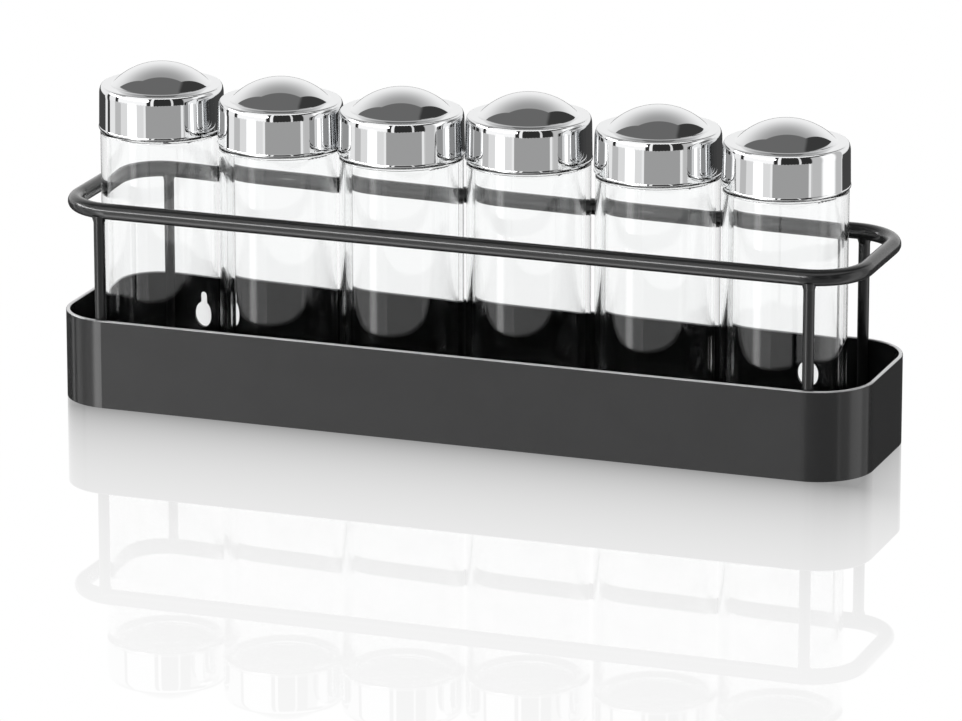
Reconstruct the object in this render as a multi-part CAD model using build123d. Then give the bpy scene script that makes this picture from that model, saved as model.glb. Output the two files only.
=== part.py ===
from build123d import *
import math
import os

# Six-jar spice rack: an open tray of sheet steel with a round-rod guard rail on four posts,
# holding six loose glass jars with domed metal lids. Millimetres, +Z up.
# The origin is under the middle of the tray, on the surface that the tray stands on.
# +X runs along the row of jars and +Y points to the back wall, which hangs on two screws.

# --- driving dimensions -------------------------------------------------------------------
tray_length = 312.0
tray_depth = 75.0
tray_height = 33.5
tray_corner_radius = 21.0
sheet_thickness = 1.5
rim_rounding = 0.5
pick_margin = 0.01

keyhole_centres_x = (-121.0, 116.5)
keyhole_centre_z = 18.5
keyhole_head_radius = 4.9
keyhole_slot_radius = 1.9
keyhole_slot_top_z = 27.3

rail_rod_radius = 3.0
rail_centre_z = 74.5
rail_centre_length = 304.0
rail_centre_depth = 67.8
rail_corner_radius = 18.5

post_radius = 2.1
post_x = 136.5
post_y = 33.8
post_weld_radius = 2.9
post_weld_height = 2.8

jar_radius = 22.8
jar_wall = 2.2
jar_base_thickness = 5.0
jar_body_height = 97.1
jar_foot_rounding = 2.5
jar_inside_foot_rounding = 4.5
jar_ledge_rounding = 1.0
jar_ledge_root = 0.3
jar_collar_radius = 21.4
jar_collar_height = 1.2
jar_collar_rounding = 0.6
jar_slope_height = 2.6
jar_neck_root = 0.8
jar_neck_radius = 19.8
jar_neck_height = 14.0
jar_lip_rounding = 0.6
jar_throat_rise = 0.6
jar_throat_drop = 0.6
jar_throat_rounding = 1.6
jar_snap_bead_radius = 0.9
jar_snap_bead_depth = 0.5
jar_snap_bead_below_rim = 5.0

lid_top_radius = 23.05
lid_foot_radius = 23.25
lid_sheet = 0.6
lid_side_height = 16.6
lid_shoulder_gap = 0.3
lid_crown_height = 3.4
lid_crown_width = 1.3
lid_hem_radius = 0.85
lid_hem_stand_out = 0.15
dome_foot_radius = 18.8
dome_foot_fillet = 1.0
dome_slope_deg = 46.0

insert_gap = 0.15
insert_foot_gap = 0.7
insert_rounding = 1.6
insert_foot_rounding = 0.3
insert_mouth_rounding = 0.4
insert_ceiling_rounding = 0.05
insert_bore_radius = 20.6
insert_top_thickness = 1.2
seal_radius = 20.5

# Where each loose jar stands in the tray: x along the row, y towards the back wall.
jar_places = (
    (-125.6, 1.0),
    (-75.3, -6.4),
    (-28.2, -5.9),
    (18.2, 2.3),
    (68.5, 0.3),
    (117.8, -2.8),
)

# --- heights that follow ------------------------------------------------------------------
jar_foot_z = sheet_thickness
jar_shoulder_z = jar_foot_z + jar_body_height
jar_rim_z = jar_shoulder_z + jar_neck_height
lid_foot_z = jar_shoulder_z + lid_shoulder_gap
lid_flange_z = lid_foot_z + lid_side_height
insert_top_z = lid_flange_z - lid_sheet
insert_ceiling_z = insert_top_z - insert_top_thickness


def rounded_block(length, depth, corner, z_low, height):
    """A rounded rectangle centred on the Z axis, standing up from z_low."""
    outline = RectangleRounded(length, depth, corner)
    return extrude(Pos(0, 0, z_low) * outline, amount=height)


def keyhole_cutter(centre_x):
    """A round hole for a screw head with a narrow slot above it, through the back wall."""
    through = Plane.XZ.offset(-tray_depth)
    head = Pos(centre_x, keyhole_centre_z) * Circle(keyhole_head_radius)
    slot_centre_z = keyhole_slot_top_z - keyhole_slot_radius
    slot_end = Pos(centre_x, slot_centre_z) * Circle(keyhole_slot_radius)
    slot_length = slot_centre_z - keyhole_centre_z
    slot_middle_z = keyhole_centre_z + slot_length / 2
    slot = Pos(centre_x, slot_middle_z) * Rectangle(2 * keyhole_slot_radius, slot_length)
    outline = through * (head + slot_end + slot)
    return extrude(outline, amount=tray_depth)


def make_tray_wall():
    inner_length = tray_length - 2 * sheet_thickness
    inner_depth = tray_depth - 2 * sheet_thickness
    inner_corner = tray_corner_radius - sheet_thickness
    block = rounded_block(tray_length, tray_depth, tray_corner_radius, 0, tray_height)
    hollow = rounded_block(inner_length, inner_depth, inner_corner, 0, tray_height)
    wall = block - hollow
    rim = wall.edges().filter_by_position(Axis.Z, tray_height - pick_margin, tray_height + pick_margin)
    wall = fillet(rim, rim_rounding)
    for centre_x in keyhole_centres_x:
        wall = wall - keyhole_cutter(centre_x)
    return wall


def make_tray_floor():
    length = tray_length - 2 * sheet_thickness
    depth = tray_depth - 2 * sheet_thickness
    corner = tray_corner_radius - sheet_thickness
    return rounded_block(length, depth, corner, 0, sheet_thickness)


def make_guard_rail():
    outline = RectangleRounded(rail_centre_length, rail_centre_depth, rail_corner_radius)
    path = (Pos(0, 0, rail_centre_z) * outline).wire()
    section = Plane(origin=path @ 0, z_dir=path % 0) * Circle(rail_rod_radius)
    return sweep(section, path=path)


def make_post(x, y, rail):
    """A round rod from the tray floor to the rail, coped to it, with its weld flare."""
    rod = Pos(x, y, sheet_thickness) * Cylinder(
        post_radius, rail_centre_z - sheet_thickness, align=(Align.CENTER, Align.CENTER, Align.MIN)
    )
    flare_low_z = rail_centre_z - rail_rod_radius - post_weld_height / 2
    flare = Pos(x, y, flare_low_z) * Cone(
        post_radius, post_weld_radius, post_weld_height, align=(Align.CENTER, Align.CENTER, Align.MIN)
    )
    return rod + flare - rail


def revolve_outline(edges):
    """A solid of revolution about Z from a closed outline given as (radius, height) edges."""
    upright = [Plane.XZ * piece for outline in edges for piece in outline.edges()]
    return revolve(make_face(upright), Axis.Z)


def make_jar():
    """One glass jar standing on the axis: thick base, straight body, ledge, narrower neck."""
    inner = jar_radius - jar_wall
    bore = jar_neck_radius - jar_wall
    floor_z = jar_foot_z + jar_base_thickness
    corners = (
        (0, jar_foot_z),
        (jar_radius, jar_foot_z),
        (jar_radius, jar_shoulder_z),
        (jar_collar_radius, jar_shoulder_z),
        (jar_collar_radius, jar_shoulder_z + jar_collar_height),
        (jar_neck_radius, jar_shoulder_z + jar_slope_height),
        (jar_neck_radius, jar_rim_z),
        (bore, jar_rim_z),
        (bore, jar_shoulder_z + jar_throat_rise),
        (inner, jar_shoulder_z - jar_throat_drop),
        (inner, floor_z),
        (0, floor_z),
    )
    radii = [
        jar_foot_rounding,
        jar_ledge_rounding,
        jar_ledge_root,
        jar_collar_rounding,
        jar_neck_root,
        jar_lip_rounding,
        jar_lip_rounding,
        jar_throat_rounding,
        jar_throat_rounding,
        jar_inside_foot_rounding,
    ]
    outline = FilletPolyline(*corners, radius=radii)
    axis_line = Line(corners[-1], corners[0])
    glass = revolve_outline([outline, axis_line])
    bead_centre = jar_neck_radius + jar_snap_bead_depth - jar_snap_bead_radius
    bead = Pos(0, 0, jar_rim_z - jar_snap_bead_below_rim) * Torus(bead_centre, jar_snap_bead_radius)
    return glass + bead


def lid_skin(inset):
    """The lid's outer outline, or the same line moved inwards by the sheet thickness."""
    flange_z = lid_flange_z - inset
    width = lid_crown_width - inset
    height = lid_crown_height - inset
    edge = (lid_top_radius - inset, flange_z - height)
    shoulder = EllipticalCenterArc(
        (edge[0] - width, edge[1]), width, height, start_angle=0, arc_size=90
    )
    slope = math.radians(dome_slope_deg)
    foot_fillet = dome_foot_fillet + inset
    dome_radius = (dome_foot_radius - dome_foot_fillet * math.sin(slope)) / math.sin(slope) - inset
    wall = Line((lid_foot_radius - inset, lid_foot_z + lid_hem_radius), edge)
    flange = Line((edge[0] - width, flange_z), (dome_foot_radius, flange_z))
    foot = JernArc(flange @ 1, (-1, 0), foot_fillet, -dome_slope_deg)
    dome = JernArc(foot @ 1, foot % 1, dome_radius, dome_slope_deg)
    return [wall, shoulder, flange, foot, dome]


def make_lid_shell():
    outer = lid_skin(0)
    inner = lid_skin(lid_sheet)
    hem_line = Line(inner[0] @ 0, outer[0] @ 0)
    axis_line = Line(outer[-1] @ 1, inner[-1] @ 1)
    shell = revolve_outline(outer + inner + [hem_line, axis_line])
    hem_centre = lid_foot_radius + lid_hem_stand_out - lid_hem_radius
    hem = Pos(0, 0, lid_foot_z + lid_hem_radius) * Torus(hem_centre, lid_hem_radius)
    return shell + hem


def make_lid_insert():
    """The moulded cup inside the lid that grips the jar's neck."""
    outside = lid_top_radius - lid_sheet - insert_gap
    foot_z = lid_foot_z + 2 * lid_hem_radius + insert_foot_gap
    corners = (
        (0, insert_top_z),
        (outside, insert_top_z),
        (outside, foot_z),
        (insert_bore_radius, foot_z),
        (insert_bore_radius, insert_ceiling_z),
        (0, insert_ceiling_z),
    )
    radii = [
        insert_rounding,
        insert_foot_rounding,
        insert_mouth_rounding,
        insert_ceiling_rounding,
    ]
    outline = FilletPolyline(*corners, radius=radii)
    axis_line = Line(corners[-1], corners[0])
    return revolve_outline([outline, axis_line])


def make_lid_seal():
    thickness = insert_ceiling_z - jar_rim_z
    return Pos(0, 0, jar_rim_z) * Cylinder(
        seal_radius, thickness, align=(Align.CENTER, Align.CENTER, Align.MIN)
    )


def main():
    os.makedirs("parts", exist_ok=True)
    rail = make_guard_rail()
    nodes = {
        "tray_wall": make_tray_wall(),
        "tray_floor": make_tray_floor(),
        "guard_rail": rail,
        "post_front_left": make_post(-post_x, -post_y, rail),
        "post_front_right": make_post(post_x, -post_y, rail),
        "post_back_left": make_post(-post_x, post_y, rail),
        "post_back_right": make_post(post_x, post_y, rail),
    }
    jar_set = {
        "jar_glass": make_jar(),
        "lid_shell": make_lid_shell(),
        "lid_insert": make_lid_insert(),
        "lid_seal": make_lid_seal(),
    }
    for number, (x, y) in enumerate(jar_places, start=1):
        for name, solid in jar_set.items():
            nodes[f"{name}_{number}"] = Pos(x, y, 0) * solid
    for name, solid in nodes.items():
        export_step(solid, f"parts/{name}.step")


main()
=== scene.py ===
import math

import bpy
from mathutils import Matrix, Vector


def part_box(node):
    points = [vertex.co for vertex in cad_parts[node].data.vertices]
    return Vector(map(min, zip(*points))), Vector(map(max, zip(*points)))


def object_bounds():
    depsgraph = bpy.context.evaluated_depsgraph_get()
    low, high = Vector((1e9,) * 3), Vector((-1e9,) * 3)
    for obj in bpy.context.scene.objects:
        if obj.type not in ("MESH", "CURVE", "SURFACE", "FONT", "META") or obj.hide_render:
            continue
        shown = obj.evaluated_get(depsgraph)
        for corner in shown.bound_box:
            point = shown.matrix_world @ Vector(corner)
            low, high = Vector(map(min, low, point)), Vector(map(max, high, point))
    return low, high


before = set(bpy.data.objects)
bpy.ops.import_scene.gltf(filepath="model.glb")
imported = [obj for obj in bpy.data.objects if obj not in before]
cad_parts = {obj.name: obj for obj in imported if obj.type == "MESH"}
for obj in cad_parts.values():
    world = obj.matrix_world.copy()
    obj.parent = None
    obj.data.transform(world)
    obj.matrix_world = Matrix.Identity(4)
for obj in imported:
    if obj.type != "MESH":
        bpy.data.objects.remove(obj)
cad_box = [list(corner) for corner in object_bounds()]

# Lengths are in metres and angles in degrees. Azimuth 0 is in front of the rack, and 90 is on
# its right.
MM = 0.001

# --- camera --------------------------------------------------------------------------------
CAMERA_AZIMUTH = 19.94
CAMERA_ELEVATION = 16.06
CAMERA_DISTANCE = 2478.0 * MM
CAMERA_TARGET = Vector((0.55, 0.0, 21.5)) * MM
NEAREST_SEEN = 0.01
FARTHEST_SEEN = 50.0
# The lens and its sensor are in millimetres.
FOCAL_LENGTH = 252.326
SENSOR_WIDTH = 36.0


def add_camera():
    azimuth = math.radians(CAMERA_AZIMUTH)
    elevation = math.radians(CAMERA_ELEVATION)
    back = Vector((
        math.sin(azimuth) * math.cos(elevation),
        -math.cos(azimuth) * math.cos(elevation),
        math.sin(elevation),
    ))
    data = bpy.data.cameras.new("camera")
    data.sensor_width = SENSOR_WIDTH
    data.lens = FOCAL_LENGTH
    data.clip_start = NEAREST_SEEN
    data.clip_end = FARTHEST_SEEN
    camera = bpy.data.objects.new("camera", data)
    camera.location = CAMERA_TARGET + back * CAMERA_DISTANCE
    camera.rotation_euler = (-back).to_track_quat("-Z", "Y").to_euler()
    bpy.context.scene.collection.objects.link(camera)
    bpy.context.scene.camera = camera


# --- node helpers --------------------------------------------------------------------------
def new_material(name):
    """A material with one Principled shader, its node tree and that shader."""
    material = bpy.data.materials.new(name)
    material.use_nodes = True
    nodes = material.node_tree.nodes
    nodes.clear()
    output = nodes.new("ShaderNodeOutputMaterial")
    shader = nodes.new("ShaderNodeBsdfPrincipled")
    material.node_tree.links.new(shader.outputs["BSDF"], output.inputs["Surface"])
    return material, material.node_tree, shader


def feed(tree, socket, value):
    """Set a socket to a number, or link another node's output to it."""
    if isinstance(value, (int, float)):
        socket.default_value = value
    else:
        tree.links.new(value, socket)


def math_node(tree, operation, *values):
    node = tree.nodes.new("ShaderNodeMath")
    node.operation = operation
    for socket, value in zip(node.inputs, values):
        feed(tree, socket, value)
    return node.outputs[0]


def smooth_range(tree, value, from_low, from_high, to_low=0.0, to_high=1.0):
    node = tree.nodes.new("ShaderNodeMapRange")
    node.interpolation_type = "SMOOTHSTEP"
    tree.links.new(value, node.inputs["Value"])
    node.inputs["From Min"].default_value = from_low
    node.inputs["From Max"].default_value = from_high
    node.inputs["To Min"].default_value = to_low
    node.inputs["To Max"].default_value = to_high
    return node.outputs["Result"]


def split_coordinates(tree, kind):
    """The x, y and z of a texture coordinate."""
    coordinates = tree.nodes.new("ShaderNodeTexCoord")
    split = tree.nodes.new("ShaderNodeSeparateXYZ")
    tree.links.new(coordinates.outputs[kind], split.inputs[0])
    return split.outputs


def noise(tree, scale, detail=2.0, roughness=0.5):
    coordinates = tree.nodes.new("ShaderNodeTexCoord")
    node = tree.nodes.new("ShaderNodeTexNoise")
    node.inputs["Scale"].default_value = scale
    node.inputs["Detail"].default_value = detail
    node.inputs["Roughness"].default_value = roughness
    tree.links.new(coordinates.outputs["Object"], node.inputs["Vector"])
    return node.outputs["Fac"]


def bump(tree, shader, height, distance, strength):
    node = tree.nodes.new("ShaderNodeBump")
    node.inputs["Distance"].default_value = distance
    node.inputs["Strength"].default_value = strength
    tree.links.new(height, node.inputs["Height"])
    tree.links.new(node.outputs["Normal"], shader.inputs["Normal"])


def blend(tree, mask, level, cover):
    """The level where the mask is 0, and the cover where it is 1."""
    mix = tree.nodes.new("ShaderNodeMix")
    mix.data_type = "FLOAT"
    tree.links.new(mask, mix.inputs[0])
    feed(tree, mix.inputs[2], level)
    feed(tree, mix.inputs[3], cover)
    return mix.outputs[0]


# --- materials -----------------------------------------------------------------------------
COAT_COLOUR = (0.0105, 0.0107, 0.011, 1)
# A painted highlight along the top edge of the tray's wall: a bright metallic band with this
# colour, roughness, strength and depth, standing in for the bright wall reflected there.
RIM_HIGHLIGHT_COLOUR = (0.75, 0.75, 0.76, 1)
RIM_HIGHLIGHT_ROUGHNESS = 0.3
TRAY_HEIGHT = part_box("tray_wall")[1][2]
RIM_HIGHLIGHT_STRENGTH = 0.85
RIM_HIGHLIGHT_DEPTH = 0.5 * MM


def powder_coat(name):
    """Black powder coat with a fine orange peel. Its roughness is returned beside it."""
    material, tree, shader = new_material(name)
    shader.inputs["Base Color"].default_value = COAT_COLOUR
    shader.inputs["IOR"].default_value = 1.5
    shader.inputs["Specular IOR Level"].default_value = 0.15
    shader.inputs["Coat Weight"].default_value = 1.0
    shader.inputs["Coat IOR"].default_value = 1.5
    shader.inputs["Coat Roughness"].default_value = 0.17
    patches = noise(tree, scale=60.0, detail=3.0)
    roughness = smooth_range(tree, patches, 0.35, 0.65, to_low=0.50, to_high=0.60)
    tree.links.new(roughness, shader.inputs["Roughness"])
    peel = noise(tree, scale=700.0, roughness=0.55)
    bump(tree, shader, peel, distance=0.06 * MM, strength=0.6)
    return material, roughness


def powder_coat_with_painted_rim_highlight(name):
    """The powder coat of the tray's wall, with a painted highlight along its top edge: a bright
    metallic band stands in for the reflected wall.
    """
    material, roughness = powder_coat(name)
    tree = material.node_tree
    shader = tree.nodes["Principled BSDF"]
    # The painted highlight: a bright metallic band near the top of the wall, not wear.
    height = split_coordinates(tree, "Object")[2]
    low, high = TRAY_HEIGHT - RIM_HIGHLIGHT_DEPTH, TRAY_HEIGHT - RIM_HIGHLIGHT_DEPTH / 4
    rim_highlight = smooth_range(tree, height, low, high, to_high=RIM_HIGHLIGHT_STRENGTH)
    colour = tree.nodes.new("ShaderNodeMix")
    colour.data_type = "RGBA"
    tree.links.new(rim_highlight, colour.inputs[0])
    colour.inputs[6].default_value = COAT_COLOUR
    colour.inputs[7].default_value = RIM_HIGHLIGHT_COLOUR
    tree.links.new(colour.outputs[2], shader.inputs["Base Color"])
    tree.links.new(rim_highlight, shader.inputs["Metallic"])
    roughness = blend(tree, rim_highlight, roughness, RIM_HIGHLIGHT_ROUGHNESS)
    tree.links.new(roughness, shader.inputs["Roughness"])
    return material


def clear_glass():
    material, _, shader = new_material("clear_glass")
    shader.inputs["Base Color"].default_value = (0.985, 0.99, 0.99, 1)
    shader.inputs["Roughness"].default_value = 0.01
    shader.inputs["IOR"].default_value = 1.5
    shader.inputs["Transmission Weight"].default_value = 1.0
    return material


def chrome():
    """Bright plating over pressed sheet, with a trace of waviness."""
    material, tree, shader = new_material("bright_chrome")
    shader.inputs["Base Color"].default_value = (0.86, 0.865, 0.87, 1)
    shader.inputs["Metallic"].default_value = 1.0
    shader.inputs["Roughness"].default_value = 0.02
    bump(tree, shader, noise(tree, scale=90.0), distance=0.2 * MM, strength=0.008)
    return material


def insert_plastic():
    """Natural moulded plastic with a fine satin grain."""
    material, tree, shader = new_material("insert_plastic")
    shader.inputs["Base Color"].default_value = (0.8, 0.8, 0.78, 1)
    shader.inputs["Roughness"].default_value = 0.45
    bump(tree, shader, noise(tree, scale=900.0), distance=0.03 * MM, strength=0.5)
    return material


def seal_foam():
    """Soft closed-cell foam."""
    material, tree, shader = new_material("seal_foam")
    shader.inputs["Base Color"].default_value = (0.72, 0.72, 0.7, 1)
    shader.inputs["Roughness"].default_value = 0.85
    bump(tree, shader, noise(tree, scale=2500.0), distance=0.08 * MM, strength=0.7)
    return material


def dress_cad_nodes():
    """Every CAD node keeps its shape and takes one of the finished materials."""
    coat, _ = powder_coat("powder_coat_black")
    by_prefix = {
        # The tray wall carries a painted highlight along its top edge.
        "tray_wall": powder_coat_with_painted_rim_highlight("powder_coat_painted_rim_highlight"),
        "tray_floor": coat,
        "guard_rail": coat,
        "post": coat,
        "jar_glass": clear_glass(),
        "lid_shell": chrome(),
        "lid_insert": insert_plastic(),
        "lid_seal": seal_foam(),
    }
    for name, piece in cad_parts.items():
        material = next(m for prefix, m in by_prefix.items() if name.startswith(prefix))
        if not piece.data.materials:
            piece.data.materials.append(material)
        for slot in piece.material_slots:
            slot.material = material
        for polygon in piece.data.polygons:
            polygon.use_smooth = True


# --- floor ---------------------------------------------------------------------------------
FLOOR_SIZE = 6.0
FLOOR_MIRROR = 0.72
FLOOR_FADE = 36.0 * MM


def distance_from_rack(tree):
    """How far a point of the floor lies outside the rack's box."""
    position = split_coordinates(tree, "Object")
    squares = []
    for axis in (0, 1):
        across = math_node(tree, "ABSOLUTE", position[axis])
        beyond = math_node(tree, "SUBTRACT", across, cad_box[1][axis])
        outside = math_node(tree, "MAXIMUM", beyond, 0.0)
        squares.append(math_node(tree, "MULTIPLY", outside, outside))
    return math_node(tree, "SQRT", math_node(tree, "ADD", *squares))


def white_mirror():
    """A mirror finish that fades away from the rack, with white where it fades."""
    material = bpy.data.materials.new("studio_floor")
    material.use_nodes = True
    tree = material.node_tree
    tree.nodes.clear()
    output = tree.nodes.new("ShaderNodeOutputMaterial")
    fades = math_node(tree, "DIVIDE", distance_from_rack(tree), FLOOR_FADE)
    share = math_node(tree, "DIVIDE", FLOOR_MIRROR, math_node(tree, "ADD", fades, 1.0))
    glow = tree.nodes.new("ShaderNodeEmission")
    tree.links.new(math_node(tree, "SUBTRACT", 1.0, share), glow.inputs["Strength"])
    gloss = tree.nodes.new("ShaderNodeBsdfGlossy")
    gloss.inputs["Color"].default_value = (1, 1, 1, 1)
    gloss.inputs["Roughness"].default_value = 0.0
    black = tree.nodes.new("ShaderNodeEmission")
    black.inputs["Strength"].default_value = 0.0
    mirror = tree.nodes.new("ShaderNodeMixShader")
    tree.links.new(share, mirror.inputs["Fac"])
    tree.links.new(black.outputs[0], mirror.inputs[1])
    tree.links.new(gloss.outputs[0], mirror.inputs[2])
    both = tree.nodes.new("ShaderNodeAddShader")
    tree.links.new(glow.outputs[0], both.inputs[0])
    tree.links.new(mirror.outputs[0], both.inputs[1])
    tree.links.new(both.outputs[0], output.inputs["Surface"])
    return material


def add_floor():
    mesh = bpy.data.meshes.new("studio_floor")
    half = FLOOR_SIZE / 2
    corners = [(-half, -half, 0), (half, -half, 0), (half, half, 0), (-half, half, 0)]
    mesh.from_pydata(corners, [], [(0, 1, 2, 3)])
    mesh.materials.append(white_mirror())
    floor = bpy.data.objects.new("studio_floor", mesh)
    bpy.context.scene.collection.objects.link(floor)
    floor.visible_glossy = False


# --- studio --------------------------------------------------------------------------------
# The wall behind is bright low down and falls off between two elevations towards the ceiling.
WALL_ELEVATIONS = (12.0, 66.0)
WALL_BRIGHTNESS = (0.95, 0.36)
# The backdrop's brightness where the camera sees it, and where it shows through glass.
BACKDROP_BRIGHTNESS = 1.0
BACKDROP_THROUGH_GLASS = 0.88

# (centre azimuth, width, lowest elevation, highest elevation, softness, brightness).
# Later panels cover earlier ones.
STUDIO_PANELS = (
    (20, 180, 45, 91, 1, 1.10),
    (16, 174, -8, 45, 1, 0.03),
    (196, 120, -70, -4, 3, 0.06),
    (-126, 44, -70, -4, 2, 0.06),
    (-100, 8, -70, 10, 1, 0.90),
    (-92, 8, -70, 10, 1, 0.04),
    (-80, 14, -70, -8, 1, 0.90),
    (-65.5, 15, -70, -8, 2, 0.55),
    (-34.5, 59, -8, 70, 3, 1.10),
    (-34.5, 47, -70, -8, 3, 0.80),
    (-34, 13, -70, -8, 9, 4.00),
    (28.5, 71, -70, -8, 1, 0.37),
    (5, 5.5, -8, 45, 1, 1.00),
    (42, 4, -8, 45, 1, 0.80),
    (60.5, 5, -70, -8, 1, 0.90),
    (99, 70, -70, 30, 3, 0.55),
    (100, 30, -70, 30, 8, 1.20),
)
# A narrow tube light along the left softbox, which draws the fine line on rounded rods. Only
# first reflections see it, which are the glossy rays below this depth.
TUBE_PANEL = (-48, 92, 15, 23, 2)
TUBE_BRIGHTNESS = 14.0
TUBE_DEPTH = 1.5

# The dark flag overhead, as slopes away from the zenith. The front of it faces this azimuth.
FLAG_AZIMUTH = 20.0
FLAG_SOFTNESS = 0.02
# Its front edge bends back with the square of the distance aside, and a little more.
FLAG_FRONT = 0.31
FLAG_BEND = 0.68
FLAG_EXTRA_BEND = 0.12
# Its back edge is straight in the middle, and runs further back on both sides.
FLAG_BACK = -0.39
FLAG_BACK_HALF_WIDTH = 0.44
FLAG_RIGHT_RUN = 1.6
# It fades out between two heights near the horizon, and is darker on its right.
FLAG_LOWEST = (0.02, 0.06)
FLAG_DARKENING = (0.40, 0.52)
FLAG_BRIGHTNESS = (0.15, 0.045)


def panel(tree, azimuth, elevation, centre, width, low, high, soft):
    """1 inside a panel of the studio and 0 outside it."""
    half, edge = width / 2, soft / 2
    offset = math_node(tree, "SUBTRACT", azimuth, centre)
    wrapped = math_node(tree, "WRAP", offset, 180.0, -180.0)
    off_centre = math_node(tree, "ABSOLUTE", wrapped)
    across = smooth_range(tree, off_centre, half + edge, half - edge)
    above = smooth_range(tree, elevation, low - edge, low + edge)
    below = smooth_range(tree, elevation, high + edge, high - edge)
    return math_node(tree, "MULTIPLY", math_node(tree, "MULTIPLY", across, above), below)


def along(tree, x, y, x_part, y_part):
    """How far a direction points along a level axis."""
    first = math_node(tree, "MULTIPLY", x, x_part)
    return math_node(tree, "MULTIPLY_ADD", y, y_part, first)


def overhead_flag(tree, x, y, z):
    """1 inside the dark flag above the rack and 0 outside it, and the flag's brightness."""
    turn = math.radians(FLAG_AZIMUTH)
    height = math_node(tree, "MAXIMUM", z, FLAG_LOWEST[0])
    forward = along(tree, x, y, math.sin(turn), -math.cos(turn))
    sideways = along(tree, x, y, math.cos(turn), math.sin(turn))
    ahead = math_node(tree, "DIVIDE", forward, height)
    aside = math_node(tree, "DIVIDE", sideways, height)
    square = math_node(tree, "MULTIPLY", aside, aside)
    rate = math_node(tree, "MULTIPLY_ADD", square, FLAG_EXTRA_BEND, FLAG_BEND)
    front_edge = math_node(tree, "SUBTRACT", FLAG_FRONT, math_node(tree, "MULTIPLY", square, rate))
    past_left = math_node(tree, "SUBTRACT", -FLAG_BACK_HALF_WIDTH, aside)
    past_right = math_node(tree, "SUBTRACT", aside, FLAG_BACK_HALF_WIDTH)
    left_run = math_node(tree, "MAXIMUM", past_left, 0.0)
    right_run = math_node(tree, "MAXIMUM", past_right, 0.0)
    right_run = math_node(tree, "MULTIPLY", right_run, FLAG_RIGHT_RUN)
    back_edge = math_node(tree, "SUBTRACT", FLAG_BACK, left_run)
    back_edge = math_node(tree, "SUBTRACT", back_edge, right_run)
    behind_front = math_node(tree, "SUBTRACT", front_edge, ahead)
    before_back = math_node(tree, "SUBTRACT", ahead, back_edge)
    mask = smooth_range(tree, z, *FLAG_LOWEST)
    for distance_inside in (behind_front, before_back):
        inside = smooth_range(tree, distance_inside, -FLAG_SOFTNESS, FLAG_SOFTNESS)
        mask = math_node(tree, "MULTIPLY", mask, inside)
    return mask, smooth_range(tree, aside, *FLAG_DARKENING, *FLAG_BRIGHTNESS)


def add_studio():
    """A white cyclorama; reflections and bounced light see its softboxes and dark flags."""
    world = bpy.data.worlds.new("studio")
    bpy.context.scene.world = world
    world.use_nodes = True
    tree = world.node_tree
    tree.nodes.clear()
    x, y, z = split_coordinates(tree, "Generated")
    to_the_front = math_node(tree, "MULTIPLY", y, -1.0)
    azimuth = math_node(tree, "DEGREES", math_node(tree, "ARCTAN2", x, to_the_front))
    elevation = math_node(tree, "DEGREES", math_node(tree, "ARCSINE", z))
    level = smooth_range(tree, elevation, *reversed(WALL_ELEVATIONS), *reversed(WALL_BRIGHTNESS))
    for *place, brightness in STUDIO_PANELS:
        level = blend(tree, panel(tree, azimuth, elevation, *place), level, brightness)
    flag, shade = overhead_flag(tree, x, y, z)
    level = blend(tree, flag, level, shade)
    path = tree.nodes.new("ShaderNodeLightPath")
    shallow = math_node(tree, "LESS_THAN", path.outputs["Glossy Depth"], TUBE_DEPTH)
    first_reflection = math_node(tree, "MULTIPLY", shallow, path.outputs["Is Glossy Ray"])
    tube = panel(tree, azimuth, elevation, *TUBE_PANEL)
    tube = math_node(tree, "MULTIPLY", tube, first_reflection)
    level = blend(tree, tube, level, TUBE_BRIGHTNESS)
    level = blend(tree, path.outputs["Is Transmission Ray"], level, BACKDROP_THROUGH_GLASS)
    camera, singular = path.outputs["Is Camera Ray"], path.outputs["Is Singular Ray"]
    level = blend(tree, math_node(tree, "MAXIMUM", camera, singular), level, BACKDROP_BRIGHTNESS)
    background = tree.nodes.new("ShaderNodeBackground")
    background.inputs["Color"].default_value = (1, 1, 1, 1)
    tree.links.new(level, background.inputs["Strength"])
    output = tree.nodes.new("ShaderNodeOutputWorld")
    tree.links.new(background.outputs[0], output.inputs["Surface"])


def set_view():
    scene = bpy.context.scene
    scene.view_settings.view_transform = "Standard"
    scene.view_settings.look = "None"
    scene.cycles.max_bounces = 24
    scene.cycles.transmission_bounces = 24
    scene.cycles.glossy_bounces = 12
    scene.cycles.caustics_refractive = True
    scene.cycles.caustics_reflective = True
    scene.cycles.use_denoising = True


add_camera()
dress_cad_nodes()
add_floor()
add_studio()
set_view()
